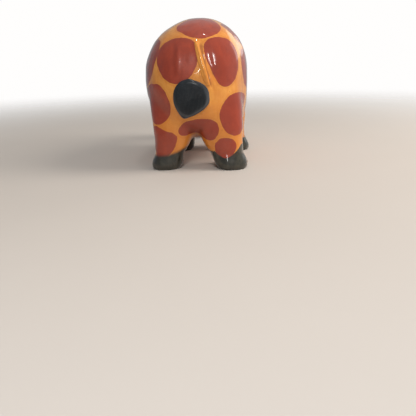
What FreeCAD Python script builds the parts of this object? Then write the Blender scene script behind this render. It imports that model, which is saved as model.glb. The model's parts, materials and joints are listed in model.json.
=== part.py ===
import FreeCAD, Part

# Carved giraffe statue: a stout, hand-carved wooden giraffe with its neck arched down as if grazing.
#
# The statue is a glue-up of carved wooden pieces that is painted and varnished once it is together. A large block
# carries the torso, the four short legs and the root of the neck. The neck, the head, the ears, the horns, the tail
# and its tuft are carved separately and glued on, with hidden dowels where a joint carries weight.
#
# Frame: +Z up, the giraffe faces -Y, +X is its own left side. All sizes are in millimetres. While it is built,
# every place is given as a distance forward of the rearmost point of the rump, and the finished pieces are moved
# together so that the middle of their common box stands over the origin and the soles stand on Z = 0.

import math
import os

from FreeCAD import Vector

# ---------------------------------------------------------------- driving dimensions

# Torso: an upright egg, longer than it is wide.
TORSO_TOP = 103.0  # height of the highest point of the back
TORSO_WIDEST = 52.5  # height of the widest section
TORSO_BOTTOM = 17.0  # height of the belly's lowest point, between the legs
TORSO_HALF_WIDTH = 38.0
TORSO_LENGTH = 103.0
TORSO_SQUARENESS = 2.3  # exponent of the horizontal sections: 2 is an ellipse
TORSO_LEAN = 3.7  # how far the flanks swing to the giraffe's left, as the carver left them
TORSO_LEAN_TOP = 0.6
TORSO_SECTIONS = 13

# Legs: each row is (height, outer edge, inner edge, rear edge, front edge) of a horizontal section. Outer and inner
# are distances from the middle plane, rear and front are distances forward of the heel.
REAR_LEG = [
    (0.0, 33.0, 14.8, 1.2, 23.4),
    (1.5, 34.2, 13.4, 0.0, 24.8),
    (6.0, 33.4, 12.2, 0.4, 24.2),
    (12.0, 32.2, 9.6, 1.2, 24.2),
    (18.0, 32.2, 6.2, 1.4, 26.0),
    (25.0, 33.2, 2.4, 1.2, 29.0),
    (38.0, 34.8, -2.0, 3.0, 36.0),
    (50.0, 33.4, 2.0, 7.0, 37.0),
    (60.0, 29.6, 8.0, 13.0, 34.0),
]
FRONT_LEG = [
    (0.0, 33.0, 14.8, 1.2, 23.4),
    (1.5, 34.2, 13.4, 0.0, 24.8),
    (6.0, 33.4, 12.2, 0.4, 24.2),
    (12.0, 32.2, 9.6, 0.2, 24.0),
    (18.0, 32.2, 6.2, -2.0, 24.0),
    (25.0, 33.0, 2.4, -5.0, 23.4),
    (38.0, 34.0, -2.0, -12.0, 20.6),
    (50.0, 33.0, 2.0, -12.0, 16.0),
    (60.0, 29.2, 8.0, -9.0, 10.0),
]
REAR_HEEL = 4.0  # the rear heels' distance forward of the rump
FRONT_HEEL = 72.6
RIGHT_REAR_STOUTER = 2.4  # how much further in the right rear leg's inner side lies
STOUTER_HEIGHT = 16.0  # where that is most
LEG_SQUARENESS = 2.5

# Neck: a tapering arch in an upright plane, whose centre line is an arc and then a short straight run.
NECK_ASIDE = 1.8  # how far the neck's plane lies to the giraffe's left, as the shoulders lean
ARCH_CENTRE = (99.0, 49.0)  # forward of the rump, height
ARCH_RADIUS = 32.0
ARCH_START = 138.0  # degrees above the forward direction, inside the shoulders
ARCH_END = 14.0
NECK_RUN = 4.0  # straight run after the arc
NECK_JOINT = 58.0  # angle on the arch where the neck is glued to the body
NECK_HALF_WIDTH = (22.5, 11.4)  # at the shoulders and at the head
NECK_HALF_DEPTH = (20.5, 12.2)
NECK_SECTIONS = 9

# Head: rows of (distance from the neck joint, half width, half depth, shift towards the forehead).
HEAD_ROWS = [
    (0.0, 11.4, 12.2, 0.0),
    (6.0, 13.2, 13.4, 0.4),
    (13.0, 13.0, 12.6, 0.4),
    (21.0, 10.4, 10.0, -0.6),
    (29.0, 8.6, 8.2, -1.8),
    (36.0, 9.0, 7.6, -2.4),
    (40.5, 7.4, 6.0, -2.6),
]
HEAD_LENGTH = 43.0
HEAD_SQUARENESS = 2.2

# Small pieces on the head: (distance from the neck joint, distance from the middle plane, towards the forehead).
EYE_AT = (16.0, 10.4, 3.8)
EYE_RADIUS = 2.6
HORN_AT = (7.0, 5.6, 9.0)
HORN_LENGTH = 18.0
HORN_RADIUS = 2.4
HORN_KNOB_RADIUS = 3.5
HORN_LEAN = 46.0  # degrees back from square to the forehead
EAR_AT = (6.5, 12.2, 0.5)
EAR_LENGTH = 16.0  # its rows are (share of the length, share of the half width, share of the thickness)
EAR_HALF_WIDTH = 5.2
EAR_THICKNESS = 3.6
EAR_ROWS = [(0.0, 0.45, 0.9), (0.25, 0.88, 1.0), (0.5, 1.0, 0.85), (0.8, 0.7, 0.6), (1.0, 0.16, 0.3)]
EAR_DISH_RADIUS = 9.0
EAR_DISH_DEPTH = 1.1
EAR_PEG_RADIUS = 1.6
EAR_PEG_LENGTH = 4.5

# Tail: a thin strip let into the rump, then the tuft, a drop-shaped button on a peg. Tuft rows are (distance above
# the button's middle, distance aside to the giraffe's left, half width).
TAIL_FIRST = (-0.6, 85.0)  # x and height of the strip's upper end
TAIL_LAST = (-8.6, 57.0)
TAIL_HALF_WIDTH = 2.5
TAIL_HALF_DEPTH = 1.9
TUFT_AT = (2.3, 49.5)
TUFT_ROWS = [
    (13.0, 0.7, 1.2),
    (11.6, 0.8, 4.2),
    (9.2, 0.0, 8.2),
    (5.3, 0.0, 10.9),
    (0.3, 0.2, 11.7),
    (-4.7, 0.3, 10.6),
    (-8.6, 1.8, 7.0),
    (-11.4, 3.4, 3.9),
    (-13.0, 4.4, 1.2),
]
TUFT_HALF_DEPTH = 3.2
TUFT_PEG_RADIUS = 2.0
TUFT_PEG_LENGTH = 14.0

# Hidden dowels.
NECK_DOWEL_RADIUS = 4.0
NECK_DOWEL_LENGTH = 30.0
HEAD_DOWEL_RADIUS = 2.5
HEAD_DOWEL_LENGTH = 20.0
GLUE_GAP = 0.1  # all round a dowel, a peg or a bead in its hole

SIDES = ((1, "left"), (-1, "right"))
LEFTWARD = Vector(1, 0, 0)
BACKWARD = Vector(0, 1, 0)


# ---------------------------------------------------------------- helpers


def place(forward, height, x=0.0):
    """A point given by its distance forward of the rump, its height and its distance from the middle plane."""
    return Vector(x, -forward, height)


def oval(centre, along, across, half_along, half_across, squareness=2.0, points=6):
    """A closed superellipse in the plane of the unit vectors along and across, in four smooth quarters."""
    power = 2.0 / squareness
    quarters = []
    for u, v, half_u, half_v in (
        (along, across, half_along, half_across),
        (across, -along, half_across, half_along),
        (-along, -across, half_along, half_across),
        (-across, along, half_across, half_along),
    ):
        spots = []
        for i in range(points):
            angle = math.pi / 2 * i / (points - 1)
            spots.append(centre + u * (half_u * math.cos(angle) ** power) + v * (half_v * math.sin(angle) ** power))
        curve = Part.BSplineCurve()
        curve.interpolate(Points=spots, InitialTangent=v * half_v, FinalTangent=-u * half_u)
        quarters.append(curve.toShape())
    return Part.Wire(quarters)


def loft(profiles):
    return Part.makeLoft(profiles, True)


def rod(middle, direction, radius, length):
    return Part.makeCylinder(radius, length, middle - direction * (length / 2), direction)


def half_space(point, direction, reach=400.0):
    """A large box that fills the side of a plane that direction points to."""
    box = Part.makeBox(reach, reach, reach, Vector(-reach / 2, -reach / 2, 0))
    box.Placement = FreeCAD.Placement(point, FreeCAD.Rotation(Vector(0, 0, 1), direction))
    return box


# ---------------------------------------------------------------- torso and legs


def torso_measures(height):
    """(half width, half length, middle forward of the rump, middle x) of the torso's section at a height."""
    if height >= TORSO_WIDEST:
        t = (height - TORSO_WIDEST) / (TORSO_TOP - TORSO_WIDEST)
        width = (1 - t**3.0) ** (1 / 1.84)
        length = (1 - t**2.3) ** 0.5
        lean = TORSO_LEAN * (1 - t * t) + TORSO_LEAN_TOP * t
        middle = TORSO_LENGTH / 2 - t
    else:
        t = (TORSO_WIDEST - height) / (TORSO_WIDEST - TORSO_BOTTOM)
        width = (1 - t**2.6) ** (1 / 3.2)
        length = (1 - t**2.8) ** (1 / 2.4)
        lean = TORSO_LEAN * height / TORSO_WIDEST
        middle = TORSO_LENGTH / 2 + t
    return TORSO_HALF_WIDTH * width, TORSO_LENGTH / 2 * length, middle, lean


def torso_pole(height):
    """The torso's highest or lowest point."""
    _, _, middle, lean = torso_measures(height)
    return Part.Vertex(place(middle, height, lean))


def torso():
    profiles = [torso_pole(TORSO_BOTTOM)]
    for i in range(1, TORSO_SECTIONS + 1):
        rise = (1 - math.cos(math.pi * i / (TORSO_SECTIONS + 1))) / 2
        height = TORSO_BOTTOM + rise * (TORSO_TOP - TORSO_BOTTOM)
        half_width, half_length, middle, lean = torso_measures(height)
        centre = place(middle, height, lean)
        profiles.append(oval(centre, LEFTWARD, BACKWARD, half_width, half_length, TORSO_SQUARENESS))
    profiles.append(torso_pole(TORSO_TOP))
    return loft(profiles)


def leg(rows, heel, side, stouter=0.0):
    """A leg from its sole up into the torso, which it follows to the left as it rises."""
    profiles = []
    for height, outer, inner, rear, front in rows:
        inner -= stouter * math.exp(-(((height - STOUTER_HEIGHT) / STOUTER_HEIGHT) ** 2) * 2)
        lean = TORSO_LEAN * (height / TORSO_WIDEST) ** 2
        centre = place(heel + (rear + front) / 2, height, side * (outer + inner) / 2 + lean)
        profiles.append(
            oval(centre, LEFTWARD, BACKWARD, (outer - inner) / 2, (front - rear) / 2, LEG_SQUARENESS)
        )
    return loft(profiles)


# ---------------------------------------------------------------- neck and head


def arch_point(angle):
    """(point, direction towards the head) on the neck's centre line at an angle in degrees."""
    a = math.radians(angle)
    forward = ARCH_CENTRE[0] + ARCH_RADIUS * math.cos(a)
    height = ARCH_CENTRE[1] + ARCH_RADIUS * math.sin(a)
    return place(forward, height, NECK_ASIDE), Vector(0, -math.sin(a), -math.cos(a))


def outward(direction):
    """The unit vector square to a direction in the middle plane, on the side of the nape and the forehead."""
    return direction.cross(LEFTWARD)


def neck():
    """The whole arch, from inside the shoulders to the head's joint."""
    stations = []
    for i in range(NECK_SECTIONS + 1):
        stations.append(arch_point(ARCH_START + (ARCH_END - ARCH_START) * i / NECK_SECTIONS))
    end, direction = stations[-1]
    stations.append((end + direction * NECK_RUN, direction))
    profiles = []
    for i, (point, heading) in enumerate(stations):
        share = i / (len(stations) - 1)
        half_width = NECK_HALF_WIDTH[0] + (NECK_HALF_WIDTH[1] - NECK_HALF_WIDTH[0]) * share
        half_depth = NECK_HALF_DEPTH[0] + (NECK_HALF_DEPTH[1] - NECK_HALF_DEPTH[0]) * share
        profiles.append(oval(point, LEFTWARD, outward(heading), half_width, half_depth, HEAD_SQUARENESS))
    return loft(profiles)


def head_frame():
    """(middle of the head's joint, direction to the lips, direction to the forehead)."""
    end, direction = arch_point(ARCH_END)
    return end + direction * NECK_RUN, direction, outward(direction)


def head_point(along, aside, up):
    origin, direction, forehead = head_frame()
    return origin + direction * along + LEFTWARD * aside + forehead * up


def head():
    forehead = head_frame()[2]
    profiles = []
    for along, half_width, half_depth, shift in HEAD_ROWS:
        middle = head_point(along, 0, shift)
        profiles.append(oval(middle, LEFTWARD, forehead, half_width, half_depth, HEAD_SQUARENESS))
    profiles.append(Part.Vertex(head_point(HEAD_LENGTH, 0, HEAD_ROWS[-1][3])))
    return loft(profiles)


def horn(side):
    """(turned peg with a round knob, its socket in the crown)."""
    _, direction, forehead = head_frame()
    lean = math.radians(HORN_LEAN)
    rise = forehead * math.cos(lean) - direction * math.sin(lean)
    foot = head_point(HORN_AT[0], side * HORN_AT[1], HORN_AT[2])
    reach = HORN_LENGTH - HORN_KNOB_RADIUS
    peg = Part.makeCylinder(HORN_RADIUS, reach, foot, rise)
    knob = Part.makeSphere(HORN_KNOB_RADIUS, foot + rise * reach)
    socket = Part.makeCylinder(HORN_RADIUS + GLUE_GAP, HORN_LENGTH, foot - rise * GLUE_GAP, rise)
    return peg.fuse(knob).removeSplitter(), socket


def ear(side):
    """(leaf dished towards the forehead on a round peg, the peg's socket in the head)."""
    _, direction, forehead = head_frame()
    reach = (LEFTWARD * side * 0.86 - direction * 0.48 - forehead * 0.1).normalize()
    facing = (forehead - reach * forehead.dot(reach)).normalize()
    breadth = reach.cross(facing)
    root = head_point(EAR_AT[0], side * EAR_AT[1], EAR_AT[2])
    profiles = []
    for share, width, thick in EAR_ROWS:
        middle = root + reach * (EAR_LENGTH * share)
        profiles.append(oval(middle, breadth, facing, EAR_HALF_WIDTH * width, EAR_THICKNESS / 2 * thick))
    dish_middle = root + reach * (EAR_LENGTH * 0.5) + facing * (EAR_THICKNESS / 2 + EAR_DISH_RADIUS - EAR_DISH_DEPTH)
    dish = Part.makeSphere(EAR_DISH_RADIUS, dish_middle, facing)
    peg = Part.makeCylinder(EAR_PEG_RADIUS, EAR_PEG_LENGTH + 1.0, root - reach * EAR_PEG_LENGTH, reach)
    socket = Part.makeCylinder(
        EAR_PEG_RADIUS + GLUE_GAP, EAR_PEG_LENGTH + 2.0, root - reach * (EAR_PEG_LENGTH + GLUE_GAP), reach
    )
    return loft(profiles).cut(dish).fuse(peg).removeSplitter(), socket


def eye(side):
    """(bead, its socket)."""
    middle = head_point(EYE_AT[0], side * EYE_AT[1], EYE_AT[2])
    outside = LEFTWARD * side
    return Part.makeSphere(EYE_RADIUS, middle, outside), Part.makeSphere(EYE_RADIUS + GLUE_GAP, middle, outside)


# ---------------------------------------------------------------- tail


def rump_point(x, height):
    """The point of the rump's surface at an x and a height."""
    half_width, half_length, middle, lean = torso_measures(height)
    share = abs((x - lean) / half_width)
    depth = half_length * (1 - share**TORSO_SQUARENESS) ** (1 / TORSO_SQUARENESS)
    return place(middle - depth, height, x)


def rump_normal(x, height, step=0.5):
    """The unit vector that points out of the rump there."""
    aside = rump_point(x + step, height) - rump_point(x - step, height)
    up = rump_point(x, height + step) - rump_point(x, height - step)
    return up.cross(aside).normalize()


def tail_strip(sections=7):
    """The tail: a low ridge that follows the rump from the back down to the tuft."""
    profiles = []
    for i in range(sections):
        share = i / (sections - 1)
        x = TAIL_FIRST[0] + (TAIL_LAST[0] - TAIL_FIRST[0]) * share
        height = TAIL_FIRST[1] + (TAIL_LAST[1] - TAIL_FIRST[1]) * share
        swell = 0.45 + 0.55 * math.sin(math.pi * (0.12 + 0.5 * share))
        outwards = rump_normal(x, height)
        middle = rump_point(x, height)
        profiles.append(oval(middle, LEFTWARD, outwards, TAIL_HALF_WIDTH * swell, TAIL_HALF_DEPTH * swell))
    return loft(profiles)


def tuft():
    """(drop-shaped button that lies square to the rump, its middle, the direction out of the rump)."""
    middle = rump_point(*TUFT_AT)
    outwards = rump_normal(*TUFT_AT)
    upwards = (Vector(0, 0, 1) - outwards * outwards.z).normalize()
    aside = outwards.cross(upwards)
    widest = max(half_width for _, _, half_width in TUFT_ROWS)
    profiles = []
    for above, shift, half_width in TUFT_ROWS:
        depth = TUFT_HALF_DEPTH * (half_width / widest) ** 0.6
        profiles.append(oval(middle + upwards * above + aside * shift, aside, outwards, half_width, depth))
    return loft(profiles), middle, outwards


# ---------------------------------------------------------------- assembly


def body_solid(arch_root):
    """The torso with its four legs and the root of the neck, before anything is cut out of it."""
    body = torso().fuse(arch_root)
    for side, name in SIDES:
        stouter = RIGHT_REAR_STOUTER if name == "right" else 0.0
        body = body.fuse(leg(REAR_LEG, REAR_HEEL, side, stouter))
        body = body.fuse(leg(FRONT_LEG, FRONT_HEEL, side))
    return body


def build():
    """{node name: shape}, in the frame that is measured from the rump."""
    joint, joint_heading = arch_point(NECK_JOINT)
    head_joint, head_heading, _ = head_frame()
    arch = neck()
    beyond = half_space(joint, joint_heading)
    body = body_solid(arch.cut(beyond))
    neck_block = arch.common(beyond).cut(body)
    head_block = head()
    nodes = {}

    button, tuft_middle, tuft_outwards = tuft()
    strip = tail_strip().cut(button)
    peg_middle = tuft_middle - tuft_outwards * (TUFT_PEG_LENGTH / 2)
    peg_hole = rod(peg_middle, tuft_outwards, TUFT_PEG_RADIUS + GLUE_GAP, TUFT_PEG_LENGTH + 2 * GLUE_GAP)
    nodes["tail_tuft_peg"] = rod(peg_middle, tuft_outwards, TUFT_PEG_RADIUS, TUFT_PEG_LENGTH)
    nodes["tail_tuft"] = button.cut(peg_hole)
    nodes["tail_strip"] = strip
    body = body.cut(button).cut(strip).cut(peg_hole)

    dowel_hole = rod(joint, joint_heading, NECK_DOWEL_RADIUS + GLUE_GAP, NECK_DOWEL_LENGTH + 1.0)
    nodes["neck_dowel"] = rod(joint, joint_heading, NECK_DOWEL_RADIUS, NECK_DOWEL_LENGTH)
    body = body.cut(dowel_hole)
    neck_block = neck_block.cut(dowel_hole)
    dowel_hole = rod(head_joint, head_heading, HEAD_DOWEL_RADIUS + GLUE_GAP, HEAD_DOWEL_LENGTH + 1.0)
    nodes["head_dowel"] = rod(head_joint, head_heading, HEAD_DOWEL_RADIUS, HEAD_DOWEL_LENGTH)
    neck_block = neck_block.cut(dowel_hole)
    head_block = head_block.cut(dowel_hole)

    for side, name in SIDES:
        for kind, maker in (("horn", horn), ("ear", ear), ("eye", eye)):
            piece, socket = maker(side)
            nodes[name + "_" + kind] = piece
            head_block = head_block.cut(socket).cut(piece)
            neck_block = neck_block.cut(socket).cut(piece)

    nodes["body_block"] = body
    nodes["neck_block"] = neck_block
    nodes["head_block"] = head_block
    return nodes


def centre(nodes, fineness=0.05):
    """Moves the nodes so that the middle of their common box is over the origin, and returns the move."""
    box = FreeCAD.BoundBox()
    for shape in nodes.values():
        for vertex in shape.tessellate(fineness)[0]:
            box.add(vertex)
    shift = Vector(-box.Center.x, -box.Center.y, -box.ZMin)
    for shape in nodes.values():
        shape.translate(shift)
    return shift


def main():
    nodes = build()
    shift = centre(nodes)
    print("moved by", [round(value, 3) for value in shift])
    os.makedirs("parts", exist_ok=True)
    for name, shape in sorted(nodes.items()):
        print(name, "solids", len(shape.Solids), "valid", shape.isValid(), "volume", round(shape.Volume, 1))
        shape.exportStep(os.path.join("parts", name + ".step"))


main()
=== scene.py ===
import json
import math

import bmesh
import bpy
import numpy as np
from bpy.props import FloatProperty, FloatVectorProperty, PointerProperty
from mathutils import Euler, Matrix, Vector, noise


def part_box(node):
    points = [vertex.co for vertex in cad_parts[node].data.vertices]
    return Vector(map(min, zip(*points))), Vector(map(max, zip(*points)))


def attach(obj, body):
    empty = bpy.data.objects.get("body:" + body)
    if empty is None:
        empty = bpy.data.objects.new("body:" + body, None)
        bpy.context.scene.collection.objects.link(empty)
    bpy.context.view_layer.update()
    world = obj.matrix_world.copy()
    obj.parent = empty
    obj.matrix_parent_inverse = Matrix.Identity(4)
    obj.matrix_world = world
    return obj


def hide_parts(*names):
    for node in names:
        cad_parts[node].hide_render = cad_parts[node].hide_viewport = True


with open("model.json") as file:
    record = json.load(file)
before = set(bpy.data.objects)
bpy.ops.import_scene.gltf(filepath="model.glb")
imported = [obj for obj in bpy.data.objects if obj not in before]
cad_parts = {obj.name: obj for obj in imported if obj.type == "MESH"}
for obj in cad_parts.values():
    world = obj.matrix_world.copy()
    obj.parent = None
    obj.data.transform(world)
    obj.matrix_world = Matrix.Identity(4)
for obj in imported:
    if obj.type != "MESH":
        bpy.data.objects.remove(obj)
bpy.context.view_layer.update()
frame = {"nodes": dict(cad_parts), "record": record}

bl_info = {
    "name": "Carved Giraffe Statue",
    "version": (1, 0, 0),
    "blender": (4, 5, 0),
    "location": "3D View > Sidebar > Giraffe",
    "description": "Carves, paints and varnishes a small wooden giraffe around its packed frame",
    "category": "Add Mesh",
}

# ---------------------------------------------------------------- the statue's frame
#
# Lengths are millimetres unless a comment says otherwise, and MM turns them into metres. The giraffe faces -Y
# and its own left is +X. "Forward" is counted from the rearmost point of the rump.

MM = 0.001
RUMP = (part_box("body_block")[1] / MM).y

LEFTWARD = np.array([1.0, 0.0, 0.0])
UPWARD = np.array([0.0, 0.0, 1.0])
SIDES = {"left": 1, "right": -1}

TORSO_HALF_LENGTH = 51.5
TORSO_MIDDLE = np.array([0.0, RUMP - TORSO_HALF_LENGTH, 55.0])
ARCH_FORWARD, ARCH_HEIGHT, ARCH_RADIUS = 99.0, 49.0, 32.0  # the arc that the neck's centre line follows

# Ranges over which one region gives way to the next, forward of the rump or above the floor.
NECK_ROOT_FORWARD, NECK_ROOT_HEIGHT = (84, 96), (50, 56)
THROAT_FORWARD = (106, 110)  # further on, everything is neck or head
FACE_FORWARD = (118, 122)
HAUNCH_FORWARD, HAUNCH_HEIGHT = (-5, 60), (34, 64)
HOOF_FORWARD = 104  # further on, nothing is painted as a hoof
# Heights over which the painted shade at the bottom of the torso and legs fades out.
LOW_SHADE_HEIGHT = (22, 60)
MANE_FORWARD, MANE_HALF_WIDTH, MANE_END = 70, 2.3, 112  # the end is in degrees on the neck's arch
MUZZLE_START, MUZZLE_REACH = 33.5, 14  # along the head, and behind its joint
EYE_RING, EYE_SWELL, EYE_DIP = 4.6, 3.6, 6.4  # radii round the middle of an eye


# ---------------------------------------------------------------- settings a user would change


def length(name, description, millimetres):
    return FloatProperty(name=name, description=description, default=millimetres * MM, unit="LENGTH")


class StatueCarving(bpy.types.PropertyGroup):
    """How finely and how deeply the statue is carved."""

    body_grain_size: length("Body cell", "Size of the cells that the body's skin is made of", 0.72)
    small_grain_size: length("Small piece cell", "Size of the cells of the ears, horns, tail and tuft", 0.34)
    waviness: length("Waviness", "How deep the gentle hollows left by the knife are", 0.3)
    tail_groove: length("Tail groove", "Depth of the groove cut beside the tail", 0.9)
    mane_height: length("Mane height", "How far the mane's crest stands out of the neck", 1.5)
    paint_thickness: length("Paint thickness", "Depth of the step at the edge of a painted patch", 0.12)


def colour(name, description, default):
    return FloatVectorProperty(name=name, description=description, default=default, size=3, min=0, max=1,
                               subtype="COLOR")


class StatueColours(bpy.types.PropertyGroup):
    """The paints, as linear colours."""

    ground: colour("Ground", "Orange ground", (0.78, 0.338, 0.058))
    # The deep ground is also the colour of the painted shade towards the bottom.
    ground_deep: colour("Deep ground", "Where the orange was brushed on thickest", (0.62, 0.190, 0.024))
    patch: colour("Patch", "Reddish brown patches", (0.375, 0.052, 0.020))
    patch_deep: colour("Deep patch", "Where the brown was brushed on thickest", (0.255, 0.034, 0.015))
    black: colour("Black", "Hooves, mane, muzzle and knobs", (0.020, 0.018, 0.013))
    black_thin: colour("Thin black", "Where the black was brushed out thin", (0.050, 0.044, 0.030))
    tuft: colour("Tuft", "Blue black of the tail's tuft", (0.004, 0.006, 0.0085))
    tuft_thin: colour("Thin tuft", "Worn rim of the tuft", (0.010, 0.014, 0.018))
    # A painted highlight: the lighter grey on the slope of the rim at the lower right of the tuft.
    tuft_highlight: colour("Tuft highlight", "Painted highlight on the bevel on the lower right of the tuft", (0.082, 0.085, 0.091))
    cream: colour("Cream", "Ring round the eyes and inside of the ears", (0.72, 0.50, 0.26))
    bead: colour("Bead", "Eye beads", (0.010, 0.009, 0.010))
    iris: colour("Iris", "Painted ring on the eye beads", (0.14, 0.055, 0.018))
    bare_wood: colour("Bare wood", "Dowels and pegs", (0.56, 0.38, 0.20))
    floor: colour("Floor", "Pale floor", (0.60, 0.535, 0.48))


# ---------------------------------------------------------------- painted outlines
#
# A patch on the torso is a closed outline of (degrees round from the tail to the left, degrees above level),
# both seen from the torso's middle.

TORSO_PATCHES = {
    "crest": [(24, 53), (18, 67), (-5, 80), (-42, 74), (-44, 59), (-39, 50), (-29, 43), (-14, 38), (0, 40),
              (14, 47)],
    "rump_left": [(15, 41), (5, 40), (-3, 38), (-8, 30), (-7, 20), (-3, 11), (4, 5), (12, 4), (20, 8),
                  (28, 17), (32, 28), (27, 37)],
    "rump_right": [(-12, 36), (-21, 40), (-34, 40), (-44, 38), (-48, 27), (-45, 14), (-38, 5), (-30, 1),
                   (-23, 2), (-18, 11), (-12, 25)],
    "flank_left": [(36, 43), (30, 34), (30, 22), (35, 11), (44, 3), (58, 1), (70, 8), (76, 20), (70, 36),
                   (52, 44)],
    "shoulder_right": [(-42, 57), (-50, 52), (-57, 45), (-64, 40), (-84, 38), (-97, 44), (-96, 58),
                       (-68, 64)],
    "flank_right": [(-66, 36), (-57, 31), (-54, 22), (-55, 14), (-59, 5), (-68, -2), (-82, -2), (-90, 8),
                    (-90, 24), (-80, 34)],
    "thigh_left": [(46, 2), (38, 5), (30, 5), (22, 4), (18, -4), (15, -10), (16, -17), (22, -24), (31, -26),
                   (44, -22), (56, -12), (56, -3)],
    "thigh_right": [(-54, -5), (-41, -3), (-31, -5), (-24, -13), (-22, -21), (-26, -29), (-34, -31),
                    (-42, -29), (-56, -24), (-66, -14), (-64, -7)],
    "seat": [(14, -30), (6, -24), (-4, -21), (-13, -21), (-21, -23), (-23, -28), (-19, -35), (-10, -38),
             (-1, -37), (8, -35)],
    "shank_left": [(34, -25), (26, -27), (17, -30), (12, -33), (14, -38), (18, -42), (26, -43), (36, -39),
                   (44, -33)],
    "shank_right": [(-18, -38), (-22, -32.5), (-31, -31), (-37, -35), (-31, -40), (-26, -45), (-20, -43)],
}

# Uneven round patches on the torso: the middle and the half width and height, all in degrees.
TORSO_BLOTCHES = [
    (100, 50, 12, 9), (96, 20, 14, 12), (84, -12, 14, 11), (58, -34, 9, 7), (112, -16, 11, 10),
    (122, 8, 11, 12), (118, 38, 11, 11), (142, 26, 9, 11), (138, -12, 10, 12), (160, -30, 12, 9),
    (142, -40, 9, 6),
    (-84, -24, 13, 9), (-112, -10, 13, 12), (-108, 20, 12, 12), (-122, 44, 11, 10), (-136, 14, 11, 11),
    (-136, -18, 11, 11), (-156, -34, 11, 9), (-142, -40, 9, 6), (-160, 2, 10, 12), (162, 6, 10, 11),
    (80, 76, 10, 8), (-110, 70, 12, 8), (-60, -36, 9, 6), (90, -40, 12, 8), (-96, -46, 10, 7),
    (176, -18, 8, 8),
]

# Patches on the neck: (degrees on the arch, degrees round from the nape to the left, half size in mm).
NECK_BLOTCHES = [
    (94, 36, 7.0), (95, -38, 7.2), (91, 108, 6.3), (92, -106, 6.2), (71, 67, 6.6), (72, -66, 6.7),
    (53, 29, 5.5), (54, -28, 5.4), (47, 101, 6.0), (48, -100, 5.8), (33, 53, 5.2), (33, -52, 5.3),
    (21, 98, 4.6), (22, -97, 4.7), (14, 23, 4.0), (15, -22, 3.9), (69, 150, 5.4), (70, -148, 5.2),
    (43, 153, 4.6), (44, -155, 4.5),
]

# Patches on the cheeks: (along the head, to the left, towards the forehead, half size), all in mm.
CHEEK_BLOTCHES = [
    (9.0, 10.5, -5.0, 4.6), (9.0, -10.5, -5.0, 4.4), (21.5, 8.6, -4.0, 3.6), (22.5, -8.6, -3.6, 3.8),
]


# ---------------------------------------------------------------- carving tools


def read_mesh(mesh):
    """(points in mm, triangles) of a mesh."""
    points = np.empty(len(mesh.vertices) * 3, np.float32)
    mesh.vertices.foreach_get("co", points)
    mesh.calc_loop_triangles()
    corners = np.empty(len(mesh.loop_triangles) * 3, np.int32)
    mesh.loop_triangles.foreach_get("vertices", corners)
    return points.reshape(-1, 3).astype(float) / MM, corners.reshape(-1, 3)


def node_solid(name):
    """(points in mm, triangles) of a node of the frame."""
    return read_mesh(frame["nodes"][name].data)


def box_middle(name):
    """The middle of a node's box, in mm."""
    low, high = (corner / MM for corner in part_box(name))
    return np.array((low + high) / 2)


def middle_of(points):
    return (points.max(0) + points.min(0)) / 2


def new_mesh(name, points, faces):
    mesh = bpy.data.meshes.new(name)
    mesh.from_pydata((np.asarray(points) * MM).tolist(), [], np.asarray(faces).tolist())
    mesh.update()
    return mesh


def new_object(name, data):
    made = bpy.data.objects.new(name, data)
    bpy.context.scene.collection.objects.link(made)
    return made


def long_axis(points, towards):
    """(middle, unit vector along the longest direction, on the side of towards) of a cloud of points."""
    middle = points.mean(0)
    _, _, rows = np.linalg.svd(points - middle, full_matrices=False)
    return middle, rows[0] if rows[0] @ towards > 0 else -rows[0]


def smoothstep(low, high, value):
    t = np.clip((value - low) / (high - low), 0, 1)
    return t * t * (3 - 2 * t)


def bell(distance, width):
    return np.exp(-((distance / width) ** 2))


def band(value, low, high, soft):
    """1 between low and high, fading to 0 over soft outside."""
    return smoothstep(low - soft, low, value) * (1 - smoothstep(high, high + soft, value))


def noise_at(points, size, shift=0.0):
    """Smooth noise from -1 to 1 whose lumps are about size across."""
    return np.array([noise.noise(Vector(p) / size + Vector((shift, shift * 1.7, 5.3))) for p in points])


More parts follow.
